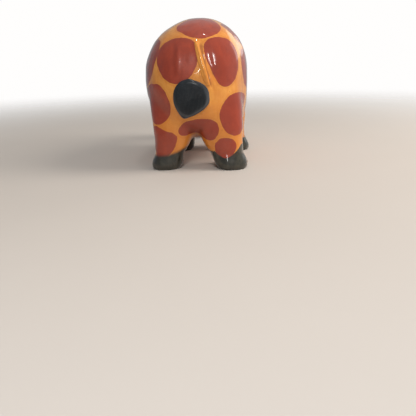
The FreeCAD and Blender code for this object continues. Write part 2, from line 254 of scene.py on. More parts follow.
class Skin:
    """A closed skin of quads, with its points in millimetres, that can be smoothed and pushed."""

    def __init__(self, points, faces):
        self.points = points
        self.faces = faces
        sides = np.concatenate([faces[:, [i, (i + 1) % 4]] for i in range(4)])
        sides = np.unique(np.sort(sides, axis=1), axis=0)
        self.a, self.b = sides[:, 0], sides[:, 1]
        self.degree = np.bincount(sides.ravel(), minlength=len(points))

    def around(self, values):
        """The mean of each point's neighbours' values."""
        out = np.empty_like(values, dtype=float)
        columns = values[:, None] if values.ndim == 1 else values
        flat = out[:, None] if values.ndim == 1 else out
        for k in range(columns.shape[1]):
            total = np.bincount(self.a, columns[self.b, k], len(self.points))
            total += np.bincount(self.b, columns[self.a, k], len(self.points))
            flat[:, k] = total / self.degree
        return out

    def normals(self):
        corner = [self.points[self.faces[:, i]] for i in range(4)]
        across = np.cross(corner[2] - corner[0], corner[3] - corner[1])
        out = np.zeros_like(self.points)
        for i in range(4):
            for k in range(3):
                out[:, k] += np.bincount(self.faces[:, i], across[:, k], len(self.points))
        return out / np.maximum(np.linalg.norm(out, axis=1), 1e-9)[:, None]

    def smooth(self, rounds, share=0.5):
        """Evens the skin out. Share may be one number or one per point."""
        share = share[:, None] if isinstance(share, np.ndarray) else share
        for _ in range(rounds):
            self.points += (self.around(self.points) - self.points) * share

    def hollowness(self, rounds, fullest):
        """From 1 in creases and hollows to -1 on ridges; fullest is the lift in mm that counts as 1."""
        lift = self.around(self.points) - self.points
        amount = (lift * self.normals()).sum(1)
        for _ in range(rounds):
            amount = self.around(amount)
        return np.clip(amount / fullest, -1, 1)

    def push(self, height):
        """Moves the points out of the surface by a height in mm."""
        self.points += self.normals() * height[:, None]

    def outer_shell(self):
        """The skin without the closed cells left inside it, such as those of dowel holes."""
        label = np.arange(len(self.points))
        while True:
            least = np.minimum(label[self.a], label[self.b])
            fresh = label.copy()
            np.minimum.at(fresh, self.a, least)
            np.minimum.at(fresh, self.b, least)
            fresh = fresh[fresh]
            if np.array_equal(fresh, label):
                break
            label = fresh
        main = np.bincount(label).argmax()
        keep = label == main
        index = np.cumsum(keep) - 1
        return Skin(self.points[keep], index[self.faces[keep[self.faces[:, 0]]]])


def voxel_skin(solids, cell):
    """One closed skin round several (points, triangles), on a grid of cells of a size in metres."""
    points = np.concatenate([solid[0] for solid in solids])
    shifts = np.cumsum([0] + [len(solid[0]) for solid in solids[:-1]])
    triangles = np.concatenate([solid[1] + shift for solid, shift in zip(solids, shifts)])
    rough = new_object("rough_block", new_mesh("rough_block", points, triangles))
    remesh = rough.modifiers.new("Skin", "REMESH")
    remesh.mode = "VOXEL"
    remesh.voxel_size = cell
    carved = bpy.data.meshes.new_from_object(rough.evaluated_get(bpy.context.evaluated_depsgraph_get()))
    corners = np.empty(len(carved.loops), np.int32)
    carved.loops.foreach_get("vertex_index", corners)
    skin = Skin(read_mesh(carved)[0], corners.reshape(-1, 4))
    bpy.data.meshes.remove(carved)
    bpy.data.meshes.remove(rough.data)
    return skin.outer_shell()


def store(mesh, name, values):
    """Keeps one number per point on a mesh, for its paint."""
    mesh.attributes.new(name, "FLOAT", "POINT").data.foreach_set("value", np.asarray(values, np.float32))


OUTSIDE = -50.0  # mm inside a painted shape, for points that are nowhere near it
PAINT_LAYERS = {
    "patch": OUTSIDE, "patch_tone": 0.5, "black": OUTSIDE, "black_soft": 0.25, "cream": OUTSIDE,
    "hollow": 0.0, "low": 0.0,
}


def paint_layers(count, **given):
    """Every paint layer, with its usual value where none is given."""
    return {name: np.broadcast_to(given.get(name, usual), count) for name, usual in PAINT_LAYERS.items()}


def finished(piece, node, paint):
    """Gives a piece its finish and its place in the frame."""
    piece.data.materials.clear()
    piece.data.materials.append(paint)
    piece.data.shade_smooth()
    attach(piece, "root")
    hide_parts(node)
    return piece


# ---------------------------------------------------------------- joints and the head's own directions


def joint_at(dowel):
    """(middle of a glue joint, unit vector across it towards the lips), from the joint's dowel."""
    return long_axis(node_solid(dowel)[0], -UPWARD)


NECK_JOINT = joint_at("neck_dowel")
HEAD_JOINT = joint_at("head_dowel")
NECK_X = HEAD_JOINT[0][0]
HEAD_DOWN = HEAD_JOINT[1]
FOREHEAD = np.cross(HEAD_DOWN, LEFTWARD)
FACE_MIDDLE = HEAD_JOINT[0] + HEAD_DOWN * 8


def head_coordinates(points):
    """(distance past the head's joint, distance to the left, distance towards the forehead) of points."""
    apart = points - HEAD_JOINT[0]
    return apart @ HEAD_DOWN, apart @ LEFTWARD, apart @ FOREHEAD


def arch_coordinates(points):
    """(degrees on the arch, distance out from the arch's middle, distance aside) of points."""
    forward = RUMP - points[:, 1] - ARCH_FORWARD
    height = points[:, 2] - ARCH_HEIGHT
    return np.degrees(np.arctan2(height, forward)), np.hypot(forward, height), points[:, 0] - NECK_X


# ---------------------------------------------------------------- the carved body, neck and head


def stub(name, keep):
    """A plug for a socket in the head: a piece's own solid, cut short at a distance from its foot."""
    points, triangles = node_solid(name)
    middle, along = long_axis(points, points.mean(0) - FACE_MIDDLE)
    reach = (points - middle) @ along
    cut = reach.min() + keep
    return points - np.outer(np.maximum(reach - cut, 0), along), triangles


def flat_plug(name, share, depth, spread=1.0):
    """A solid that fills a piece's seat: the piece's own, flattened to a share and sunk to a depth."""
    points, triangles = node_solid(name)
    middle = middle_of(points)
    points[:, ::2] = middle[::2] + (points[:, ::2] - middle[::2]) * spread
    line = np.polyval(np.polyfit(points[:, 2], points[:, 1], 3), points[:, 2])
    points[:, 1] = line + (points[:, 1] - line) * share - depth
    return points, triangles


def bead_plug(name, share=0.9):
    """An eye's solid to fill its socket, shrunk to a share so that the eye stands out of it."""
    points, triangles = node_solid(name)
    middle = middle_of(points)
    return middle + (points - middle) * share, triangles


def carve_creases(skin):
    """Fills the inner corners where the legs, the torso and the neck meet with a soft round."""
    skin.smooth(4)
    head_free = 0.5 * (1 - smoothstep(*FACE_FORWARD, RUMP - skin.points[:, 1]))
    for rounds in (60, 40, 20):
        before, outwards = skin.points.copy(), skin.normals()
        skin.smooth(rounds, head_free)
        filled = smoothstep(0.0, 0.8, ((skin.points - before) * outwards).sum(1))
        skin.points = before + (skin.points - before) * filled[:, None]
    haunch = band(skin.points[:, 2], *HAUNCH_HEIGHT, 8) * band(RUMP - skin.points[:, 1], *HAUNCH_FORWARD, 12)
    skin.smooth(80, 0.5 * haunch)
    skin.smooth(5)


TAIL_TOP_X, TAIL_TOP_HEIGHT, TAIL_SLANT = -3.97, 85, 0.286


def tail_line(z):
    """Where the tail's middle lies at a height, to the left of the middle plane."""
    return TAIL_TOP_X - TAIL_SLANT * (TAIL_TOP_HEIGHT - z)


def carve_rump(skin, groove):
    """The groove beside the tail, the two buttocks and the faint flat on the left one."""
    x, z = skin.points[:, 0], skin.points[:, 2]
    aside = x - tail_line(z)
    groove_line = -groove * bell(aside + 2.7, 0.9) * band(z, 60, 80, 7)
    trough = -1.5 * bell(aside + 5.2, 4.0) * band(z, 66, 82, 9)
    right_buttock = 1.3 * bell(x + 22, 7.0) * bell(z - 70, 16)
    left_buttock = 0.8 * bell(x - 14, 10) * bell(z - 66, 18)
    flat = 0.35 * bell(x - 7.6, 1.5) * band(z, 68, 80, 5) - 0.30 * bell(x - 10.6, 2.0) * band(z, 66, 82, 5)
    rear = smoothstep(0.0, 12.0, skin.points[:, 1] - (RUMP - 40))
    skin.push((groove_line + trough + right_buttock + left_buttock + flat) * rear)


def leg_middles():
    """{sole: (x, y) of its hoof's middle}, from the record's mounts."""
    return {m["name"]: (m["pos_m"][0] / MM, m["pos_m"][1] / MM) for m in frame["record"]["mounts"]}


def carve_hooves(skin):
    """A cleft in front, a soft ridge behind and a spread rim on each hoof, and a slimmer waist above them."""
    x, y, z = skin.points.T
    height = np.zeros(len(x))
    for hoof_x, hoof_y in leg_middles().values():
        near = bell(np.hypot(x - hoof_x, y - hoof_y), 19) > 0.2
        front = smoothstep(2, 8, hoof_y - y) * near
        behind = smoothstep(2, 8, y - hoof_y) * near
        cleft = -1.0 * bell(x - hoof_x, 0.9) * band(z, -1, 7.5, 3)
        ridge = 0.55 * bell(x - hoof_x - 3.5, 2.6) * band(z, 1, 9, 4)
        rim = -0.35 * bell(z - 11.5, 2.2) + 0.7 * (1 - smoothstep(4, 11, z))
        height += cleft * front + ridge * behind + rim * near
    skin.push(height)
    waist = bell(z - 35, 16) * band(RUMP - y, -5, 66, 10)
    skin.points[:, 0] += waist * (-2.1 * smoothstep(8, 26, x) + 1.3 * smoothstep(8, 26, -x))
    right_front_hoof = (1 - smoothstep(6, 15, z)) * smoothstep(60, 74, RUMP - y) * smoothstep(16, 30, -x)
    skin.points[:, 0] -= 0.8 * right_front_hoof


def distance_to_eye(points, side):
    return np.linalg.norm(points - box_middle(side + "_eye"), axis=1)


def carve_head(skin):
    """Brow, eye sockets, cheeks, nostrils and mouth."""
    along, aside, up = head_coordinates(skin.points)
    sides = np.abs(aside)
    height = np.zeros(len(along))
    for side in SIDES:
        away = distance_to_eye(skin.points, side)
        height += 0.6 * bell(away - EYE_SWELL, 0.7) - 0.4 * bell(away - EYE_DIP, 1.8)
    brows = 0.7 * bell(along - 11, 5) * bell(sides - 8, 3) * smoothstep(3, 9, up)
    nose_bridge = 0.9 * bell(along - 15, 5) * bell(aside, 4.5) * smoothstep(4, 9, up)
    cheeks = -0.8 * bell(along - 25, 6) * bell(sides - 8, 4) * bell(up, 5)
    from_nostril = np.sqrt((along - 38.2) ** 2 + (sides - 4.6) ** 2 * 1.6 + (up - 1.8) ** 2)
    nostrils = -1.3 * bell(from_nostril, 1.5) + 0.4 * bell(from_nostril - 3.0, 1.0)
    from_lips = up + 5.4 - 0.10 * (along - 36)
    mouth = -0.75 * bell(from_lips, 0.8) * smoothstep(26, 30, along) * (up > -9)
    on_head = smoothstep(-6, 0, along) * (sides < 26)
    skin.push((height + brows + nose_bridge + cheeks + nostrils + mouth) * on_head)


def carve_mane(skin, crest, notch_spacing=3.1):
    """A low notched crest down the back of the neck."""
    degrees, out, aside = arch_coordinates(skin.points)
    run = np.radians(degrees) * ARCH_RADIUS
    notch = 0.82 + 0.18 * np.cos(run * 2 * math.pi / notch_spacing)
    on_neck = band(degrees, 4, MANE_END, 9) * smoothstep(ARCH_RADIUS + 3, ARCH_RADIUS + 8, out)
    along, _, up = head_coordinates(skin.points)
    free = 1 - smoothstep(-2, 3, along) * (up > 0)
    skin.push(crest * bell(aside, 2.1) * notch * on_neck * free)


def carve_by_hand(skin, waviness):
    """The gentle hollows and flats that a knife and sandpaper leave."""
    rough = noise_at(skin.points, 15.0) + 0.45 * noise_at(skin.points, 7.0, 9.1)
    strokes = noise_at(skin.points * np.array([1.0, 1.0, 0.35]), 4.6, 3.3)
    on_sole = 1 - smoothstep(0.4, 3.0, skin.points[:, 2])
    skin.push((waviness * (rough + 0.35 * strokes)) * (1 - on_sole))


def keep_on_the_floor(skin, sole=0.35):
    """Flat soles at height 0, made of all that is lower than the sole's thickness."""
    height = skin.points[:, 2]
    skin.points[:, 2] = np.where(height < sole, 0.0, height)


# ---------------------------------------------------------------- paint layers on the carved skin


def unit_direction(round_degrees, level_degrees):
    a, e = math.radians(round_degrees), math.radians(level_degrees)
    return np.array([math.sin(a) * math.cos(e), math.cos(a) * math.cos(e), math.sin(e)])


def rounded_outline(corners, steps=6):
    """A closed cubic B-spline that rounds the corners."""
    corners = np.asarray(corners, float)
    around = [np.roll(corners, shift, 0) for shift in (1, 0, -1, -2)]
    out = []
    for t in np.arange(steps) / steps:
        weights = ((1 - t) ** 3, 3 * t**3 - 6 * t**2 + 4, -3 * t**3 + 3 * t**2 + 3 * t + 1, t**3)
        out.append(sum(corner * weight / 6 for corner, weight in zip(around, weights)))
    return np.stack(out, 1).reshape(-1, 2)


def distance_inside(flat, outline):
    """Distance of flat points to a closed outline, above 0 inside."""
    nearest = np.full(len(flat), 1e9)
    inside = np.zeros(len(flat), bool)
    for start, end in zip(outline, np.roll(outline, -1, 0)):
        run = end - start
        share = np.clip(((flat - start) @ run) / (run @ run), 0, 1)
        nearest = np.minimum(nearest, np.hypot(*(flat - start - share[:, None] * run).T))
        crosses = (start[1] > flat[:, 1]) != (end[1] > flat[:, 1])
        slope = (flat[:, 1] - start[1]) / np.where(run[1] == 0, 1e-9, run[1])
        inside ^= crosses & (flat[:, 0] < start[0] + slope * run[0])
    return np.where(inside, nearest, -nearest)


def unevenness(bearing, depths, turns):
    """How far an uneven round shape reaches in a direction, about 1; one depth for each of 2 and 3 lobes."""
    return 1 + sum(
        depth * np.sin(lobes * bearing + turn) for lobes, depth, turn in zip((2, 3), depths, turns)
    )


def blotch(round_degrees, level_degrees, half_width, half_height, seed, corner_count=9):
    """The outline of an uneven rounded patch, as wide near the torso's top and bottom as at its middle."""
    shrink = max(0.35, math.cos(math.radians(level_degrees)))
    bearing = 2 * math.pi * np.arange(corner_count) / corner_count
    reach = unevenness(bearing, (0.16, 0.10), (seed * 2.3, seed * 1.1))
    across = round_degrees + half_width / shrink * reach * np.cos(bearing)
    upwards = level_degrees + half_height * reach * np.sin(bearing)
    return list(zip(across, upwards))


def torso_patch_layers(points):
    """(distance inside the nearest torso patch, its tone)."""
    apart = points - TORSO_MIDDLE
    radius = np.linalg.norm(apart, axis=1)
    outlines = list(TORSO_PATCHES.values())
    outlines += [blotch(*spot, seed) for seed, spot in enumerate(TORSO_BLOTCHES)]
    inside = np.full(len(points), OUTSIDE)
    tone = np.full(len(points), PAINT_LAYERS["patch_tone"])
    for number, outline in enumerate(outlines):
        directions = np.array([unit_direction(*corner) for corner in outline])
        middle = directions.mean(0) / np.linalg.norm(directions.mean(0))
        east = np.cross(middle, UPWARD)
        east /= np.linalg.norm(east)
        axes = np.stack([east, np.cross(east, middle)], 1)
        corners = directions @ axes / (directions @ middle)[:, None]
        depth = apart @ middle
        chosen = np.nonzero(depth > 0.55 * radius)[0]
        flat = apart[chosen] @ axes / depth[chosen, None]
        distance = distance_inside(flat, rounded_outline(corners)) * radius[chosen]
        better = distance > inside[chosen]
        inside[chosen[better]] = distance[better]
        tone[chosen[better]] = (number * 0.37) % 1.0
    return inside, tone


def neck_patch_layer(points):
    """Distance inside the nearest patch of the neck and the cheeks."""
    degrees, out, aside = arch_coordinates(points)
    turn = np.degrees(np.arctan2(aside, out - ARCH_RADIUS))
    inside = np.full(len(points), OUTSIDE)
    for number, (at, side, size) in enumerate(NECK_BLOTCHES):
        neck_radius = 11 + 0.055 * at
        run = np.radians(degrees - at) * ARCH_RADIUS
        girth = np.radians((turn - side + 180) % 360 - 180) * neck_radius
        reach = size * unevenness(np.arctan2(run, girth), (0.14, 0.10), (number * 1.9, number))
        inside = np.maximum(inside, reach - np.hypot(run, girth))
    own = np.stack(head_coordinates(points), 1)
    for *spot, size in CHEEK_BLOTCHES:
        inside = np.maximum(inside, size - np.linalg.norm(own - spot, axis=1))
    return inside


def hoof_layers(points):
    """(distance inside the black of the hooves, softness of its edge)."""
    x, y, z = points.T
    middles = leg_middles()
    rear = y > (middles["left_rear_sole"][1] + middles["left_front_sole"][1]) / 2
    left = x > NECK_X
    left_rear = 10.2 + 0.012 * (x - 26) ** 2
    right_rear = np.where(x > -15, 12.9, 8.9 + 0.072 * (x + 23) ** 2)
    front = 11.0 + 0.8 * np.sin(x * 0.35) + 0.6 * np.sin(y * 0.4)
    top = np.where(rear, np.where(left, left_rear, right_rear), front)
    return np.minimum(top, 17.0) - z, np.where(rear & left, 1.5, 0.35)


def statue_layers(skin):
    """Every paint layer of the carved skin."""
    points = skin.points
    forward, height = RUMP - points[:, 1], points[:, 2]
    degrees, out, aside = arch_coordinates(points)
    along, _, up = head_coordinates(points)
    on_neck = smoothstep(*NECK_ROOT_FORWARD, forward) * smoothstep(*NECK_ROOT_HEIGHT, height)
    on_neck = np.maximum(on_neck, smoothstep(*THROAT_FORWARD, forward))

    torso, tone = torso_patch_layers(points)
    torso = np.minimum(torso, np.maximum(87.5 - forward, 48 - height))
    neck = np.minimum(neck_patch_layer(points), forward - 91.5)
    muzzle = along - MUZZLE_START + 0.10 * up
    muzzle = np.where(points[:, 1] < HEAD_JOINT[0][1] + MUZZLE_REACH, muzzle, OUTSIDE)
    patch = np.minimum(np.where(on_neck > 0.5, neck, torso), -muzzle - 3.5)

    mane = np.minimum(MANE_HALF_WIDTH - np.abs(aside), out - ARCH_RADIUS - 5)
    mane = np.minimum(mane, np.minimum(MANE_END - degrees, degrees - 2) * 0.5)
    mane = np.where((along > -1) | (forward < MANE_FORWARD), OUTSIDE, mane)
    hoof, soft = hoof_layers(points)
    hoof = np.where(forward < HOOF_FORWARD, hoof, OUTSIDE)
    black = np.maximum(np.maximum(hoof, mane), muzzle)
    eye_rings = EYE_RING - np.minimum(*(distance_to_eye(points, side) for side in SIDES))
    # The painted wood reads hollow as painted shade in creases, and low as painted shade towards the bottom.
    return paint_layers(
        len(points), patch=patch, patch_tone=tone, black=black, black_soft=np.where(hoof >= black, soft, 0.4),
        cream=np.maximum(eye_rings, OUTSIDE), hollow=skin.hollowness(5, 0.02),
        low=(1 - smoothstep(*LOW_SHADE_HEIGHT, height)) * (1 - on_neck),
    )


CUT_REACH = 2.5  # mm from a glue joint, within which faces may be cut by it


def cut_at_joint(block, joint, half_width, low, high):
    """Parts the skin at a glue joint. Low and high bound the cut, towards the throat and the nape."""
    middle, across = (Vector(value) for value in joint)
    nape = Vector(np.cross(joint[1], LEFTWARD))

    def near(face):
        away = face.calc_center_median() / MM - middle
        return abs(away.dot(across)) < CUT_REACH and abs(away.x) < half_width and low < away.dot(nape) < high

    faces = [face for face in block.faces if near(face)]
    region = list({item for face in faces for item in (*face.verts, *face.edges)}) + faces
    cut = bmesh.ops.bisect_plane(block, geom=region, dist=1e-8, plane_co=middle * MM, plane_no=across)
    seam = [item for item in cut["geom_cut"] if isinstance(item, bmesh.types.BMEdge)]
    bmesh.ops.split_edges(block, edges=seam)


def islands(block):
    """The connected groups of faces."""
    block.faces.ensure_lookup_table()
    seen, groups = set(), []
    for start in block.faces:
        if start.index in seen:
            continue
        seen.add(start.index)
        group, waiting = [], [start]
        while waiting:
            face = waiting.pop()
            group.append(face)
            for edge in face.edges:
                for other in edge.link_faces:
                    if other.index not in seen:
                        seen.add(other.index)
                        waiting.append(other)
        groups.append(group)
    return groups


def parted(mesh):
    """[body, neck, head] meshes, each closed with a flat face at its glue joints."""
    block = bmesh.new()
    block.from_mesh(mesh)
    cut_at_joint(block, NECK_JOINT, 22, -18.5, 24)
    cut_at_joint(block, HEAD_JOINT, 20, -18, 18)
    block.faces.index_update()
    groups = sorted(islands(block), key=len, reverse=True)[:3]
    if len(groups) != 3:
        raise RuntimeError("the neck and the head did not come apart at their joints")
    groups.sort(key=lambda group: np.mean([face.calc_center_median().y for face in group]), reverse=True)
    out = []
    for group in groups:
        kept = {face.index for face in group}
        part = block.copy()
        part.faces.ensure_lookup_table()
        bmesh.ops.delete(part, geom=[face for face in part.faces if face.index not in kept], context="FACES")
        rim = [edge for edge in part.edges if edge.is_boundary]
        caps = bmesh.ops.holes_fill(part, edges=rim, sides=0)["faces"]
        bmesh.ops.triangulate(part, faces=caps)
        piece = bpy.data.meshes.new("carved")
        part.to_mesh(piece)
        part.free()
        out.append(piece)
    block.free()
    return out


class STATUE_OT_carve_block(bpy.types.Operator):
    """Carve the body, the neck and the head as one surface and part them at their glue joints"""

    bl_idname = "statue.carve_block"
    bl_label = "Carve body, neck and head"

    def execute(self, context):
        carving = context.scene.statue_carving
        parts = ("body", "neck", "head")
        solids = [node_solid(part + "_block") for part in parts]
        solids += [flat_plug("tail_strip", 0.5, 0.2), flat_plug("tail_tuft", 0.15, 0.7, 1.02)]
        for side in SIDES:
            solids += [bead_plug(side + "_eye"), stub(side + "_horn", 5.6), stub(side + "_ear", 6.0)]
        skin = voxel_skin(solids, carving.body_grain_size)
        carve_creases(skin)
        carve_rump(skin, carving.tail_groove / MM)
        carve_hooves(skin)
        carve_head(skin)
        carve_mane(skin, carving.mane_height / MM)
        carve_by_hand(skin, carving.waviness / MM)
        skin.smooth(2)
        keep_on_the_floor(skin)
        mesh = new_mesh("carved_block", skin.points, skin.faces)
        for name, values in statue_layers(skin).items():
            store(mesh, name, values)
        paint = material("painted wood")
        for part, piece in zip(parts, parted(mesh)):
            finished(new_object("carved_" + part, piece), part + "_block", paint)
        bpy.data.meshes.remove(mesh)
        return {"FINISHED"}


# ---------------------------------------------------------------- ears, horns, eyes

EYE_CELL = 0.22 * MM
IRIS_RADIUS = 1.5


def small_skin(node, cell, rounds=4):
    skin = voxel_skin([node_solid(node)], cell)
    skin.smooth(rounds)
    return skin


def small_piece(name, skin, node, slot, paint, **layers):
    mesh = new_mesh(name, skin.points, skin.faces)
    for layer_name, values in paint_layers(len(skin.points), **layers).items():
        store(mesh, layer_name, values)
    return finished(new_object(name, mesh), node, material(paint))


class STATUE_OT_make_ears(bpy.types.Operator):
    """Make the two dished ears"""

    bl_idname = "statue.make_ears"
    bl_label = "Make ears"

    def execute(self, context):
        for side, sign in SIDES.items():
            node = side + "_ear"
            skin = small_skin(node, context.scene.statue_carving.small_grain_size)
            middle, along = long_axis(skin.points, LEFTWARD * sign)
            facing = FOREHEAD - along * (FOREHEAD @ along)
            facing /= np.linalg.norm(facing)
            breadth = np.cross(along, facing)
            apart = skin.points - middle
            reach, wide, deep = apart @ along, apart @ breadth, apart @ facing
            fold = bell(wide, 0.8) * band(reach, -4, 5, 3) * smoothstep(0.0, 0.6, deep)
            skin.push(-0.35 * fold + 0.12 * noise_at(skin.points, 3.0, 1.5))
            dish = 3.0 - np.hypot(wide * 1.25, (reach - 1.5) * 0.6)
            small_piece("leaf_" + node, skin, node, "painted_wood", "painted wood",
                        cream=np.where(deep > -0.1, dish, OUTSIDE), patch=-4.6 - reach,
                        hollow=skin.hollowness(2, 0.02))
        return {"FINISHED"}


class STATUE_OT_make_horns(bpy.types.Operator):
    """Make the two horns with their black knobs"""

    bl_idname = "statue.make_horns"
    bl_label = "Make horns"

    def execute(self, context):
        for side in SIDES:
            node = side + "_horn"
            skin = small_skin(node, context.scene.statue_carving.small_grain_size)
            middle, along = long_axis(skin.points, UPWARD)
            reach = (skin.points - middle) @ along
            rim = reach.max() - 7.0
            skin.push(-0.35 * bell(reach - rim, 1.1) + 0.10 * noise_at(skin.points, 2.6, 4.1))
            small_piece("knobbed_" + node, skin, node, "horn_wood", "painted wood", black=reach - rim - 0.3,
                        hollow=skin.hollowness(2, 0.03))
        return {"FINISHED"}


class STATUE_OT_make_eyes(bpy.types.Operator):
    """Make the two bead eyes, each with a slightly flattened front"""

    bl_idname = "statue.make_eyes"
    bl_label = "Make eyes"

    def execute(self, context):
        for side, sign in SIDES.items():
            node = side + "_eye"
            skin = small_skin(node, EYE_CELL, 6)
            look = LEFTWARD * sign * 0.9 + FOREHEAD * 0.38 + HEAD_DOWN * 0.1
            look /= np.linalg.norm(look)
            apart = skin.points - middle_of(skin.points)
            depth = apart @ look
            off_axis = np.linalg.norm(apart - np.outer(depth, look), axis=1)
            skin.push((0.10 * bell(off_axis - IRIS_RADIUS, 0.4) - 0.22 * bell(off_axis, 1.1)) * (depth > 0))
            small_piece("bead_" + node, skin, node, "black_bead", "eye bead",
                        cream=np.where(depth > 0, 0.35 - np.abs(off_axis - IRIS_RADIUS), OUTSIDE))
        return {"FINISHED"}


# ---------------------------------------------------------------- tail, tuft and hidden pegs


TUFT_HALF_WIDTH, TUFT_HALF_HEIGHT = 11.7, 13.0
TUFT_BULGES = ((60, 0.9), (34, 0.7), (-45, 0.8), (-8, 0.4), (172, 0.5), (118, 0.3))  # (degrees, mm)


def degrees_apart(bearing, other):
    return (bearing - other + 180) % 360 - 180


def make_strip(cell):
    """The low ridge of the tail, with a fine line down it, that sinks into the rump at its lower end."""
    skin = small_skin("tail_strip", cell, 8)
    x, _, z = skin.points.T
    uneven = 0.08 * noise_at(skin.points * np.array([1, 1, 0.4]), 3.0, 2.2)
    line = -0.32 * bell(x - tail_line(z) - 0.2, 0.5) * band(z, 64, 80, 4)
    lower_end = -0.8 * bell(z - 56, 3.5)
    skin.push(uneven - 0.2 + line + lower_end)
    skin.smooth(2)
    small_piece("carved_tail", skin, "tail_strip", "painted_wood", "painted wood",
                hollow=skin.hollowness(3, 0.03))


def make_tuft(cell):
    """The tuft: a flat button with a bevelled rim and an uneven outline, with the lower right of its rim
    marked for a painted highlight.
    """
    skin = small_skin("tail_tuft", cell, 8)
    x, _, z = (skin.points - box_middle("tail_tuft")).T
    spread = np.hypot(x / TUFT_HALF_WIDTH, z / TUFT_HALF_HEIGHT)
    hair = 0.05 * np.sin((x + 0.25 * z + 0.8 * noise_at(skin.points, 6.0, 7.7)) * 2.4)
    hair *= 1 - smoothstep(0.35, 0.8, spread)
    uneven = 0.2 * noise_at(skin.points, 8.0, 6.1)
    skin.push(hair + uneven - 0.5 * bell(spread, 0.55) - 0.7 * smoothstep(0.74, 0.98, spread))
    bearing = np.degrees(np.arctan2(z, x))
    bulge = sum(size * bell(degrees_apart(bearing, at), 24) for at, size in TUFT_BULGES)
    bulge *= smoothstep(0.4, 0.9, spread) / 12
    skin.points[:, 0] += (0.075 + bulge) * x
    skin.points[:, 2] += (0.03 + bulge) * z
    # Painted highlight: the slope of the rim at the lower right is marked in the cream layer, to be painted
    # lighter.
    right_below = bell(degrees_apart(bearing, -120), 75)
    bevel = (0.955 - skin.normals()[:, 1]) * 10 * right_below - 0.3
    small_piece("black_tuft", skin, "tail_tuft", "black_wood", "black tuft paint", cream=bevel,
                hollow=skin.hollowness(3, 0.03))


class STATUE_OT_make_tail(bpy.types.Operator):
    """Make the tail's low ridge and its black tuft"""

    bl_idname = "statue.make_tail"
    bl_label = "Make tail"

    def execute(self, context):
        cell = context.scene.statue_carving.small_grain_size
        make_strip(cell)
        make_tuft(cell * 1.25)
        return {"FINISHED"}


class STATUE_OT_finish_pegs(bpy.types.Operator):
    """Give the hidden dowels and the tuft's peg their bare wood"""

    bl_idname = "statue.finish_pegs"
    bl_label = "Finish dowels and peg"

    def execute(self, context):
        for name in ("neck_dowel", "head_dowel", "tail_tuft_peg"):
            for slot in frame["nodes"][name].material_slots:
                slot.material = material("bare turned wood")
        return {"FINISHED"}


# ---------------------------------------------------------------- shader building blocks

FLOAT, COLOUR = "NodeSocketFloat", "NodeSocketColor"
FACTOR, FIRST_COLOUR, SECOND_COLOUR, MIXED_COLOUR = 0, 6, 7, 2  # sockets of a Mix node


def feed(tree, sockets, values):
    """Sets sockets to numbers, vectors or colours, or links them to other nodes' outputs."""
    for name, value in values.items():
        socket = sockets[name]
        if isinstance(value, bpy.types.NodeSocket):
            tree.links.new(value, socket)
        elif isinstance(value, (int, float)) or socket.type == "VECTOR":
            socket.default_value = value
        else:
            socket.default_value = (*value, 1)


def new_node(tree, kind, inputs, **settings):
    """The outputs of a new node."""
    node = tree.nodes.new("ShaderNode" + kind)
    for name, value in settings.items():
        setattr(node, name, value)
    feed(tree, node.inputs, inputs)
    return node.outputs


def math_node(tree, operation, *values):
    return new_node(tree, "Math", dict(enumerate(values)), operation=operation)[0]


def times(tree, first, second):
    return math_node(tree, "MULTIPLY", first, second)


def scaled(tree, value, scale, shift):
    return math_node(tree, "MULTIPLY_ADD", value, scale, shift)


def inverse(tree, value):
    return math_node(tree, "SUBTRACT", 1.0, value)


def mix_colour(tree, factor, first, second):
    inputs = {FACTOR: factor, FIRST_COLOUR: first, SECOND_COLOUR: second}
    return new_node(tree, "Mix", inputs, data_type="RGBA")[MIXED_COLOUR]


def noise_node(tree, where, scale, detail, roughness, distortion=0.0):
    shape = {"Scale": scale, "Detail": detail, "Roughness": roughness, "Distortion": distortion}
    return new_node(tree, "TexNoise", {"Vector": where, **shape})[0]


def stretched_place(tree, stretch=(1, 1, 1), turn=(0, 0, 0)):
    """Object coordinates, stretched so that what is drawn with them runs in streaks."""
    place = new_node(tree, "TexCoord", {})["Object"]
    return new_node(tree, "Mapping", {"Vector": place, "Scale": stretch, "Rotation": turn})[0]


def ramp_between(tree, value, low, high):
    inputs = {"Value": value, "From Min": low, "From Max": high}
    return new_node(tree, "MapRange", inputs, interpolation_type="SMOOTHSTEP")[0]


def layer(tree, name):
    return new_node(tree, "Attribute", {}, attribute_name=name)["Fac"]


def placed(tree, group, **values):
    """The outputs of a shader group, placed with its own values."""
    return new_node(tree, "Group", values, node_tree=bpy.data.node_groups[group])


def brushed(tree, thin, thick, blotches, strokes, amount):
    """One colour of brushed paint, between its thin and its thick shade."""
    return placed(tree, "Brushed paint", Thin=thin, Thick=thick, Blotches=blotches, Strokes=strokes,
                  Amount=amount)


def edge(tree, name, wander, ragged, softness):
    """The painted edge of a paint layer."""
    return placed(tree, "Painted edge", Distance=layer(tree, name), Wander=wander, Ragged=ragged,
                  Softness=softness)


def shader_group(name, inputs, outputs):
    """(tree, its inputs, its outputs) of a new group, from its inputs' usual values and outputs' kinds."""
    tree = bpy.data.node_groups.new(name, "ShaderNodeTree")
    for label, usual in inputs.items():
        kind = FLOAT if isinstance(usual, float) else COLOUR
        tree.interface.new_socket(label, in_out="INPUT", socket_type=kind).default_value = usual
    for label, kind in outputs.items():
        tree.interface.new_socket(label, in_out="OUTPUT", socket_type=kind)
    return tree, tree.nodes.new("NodeGroupInput").outputs, tree.nodes.new("NodeGroupOutput").inputs


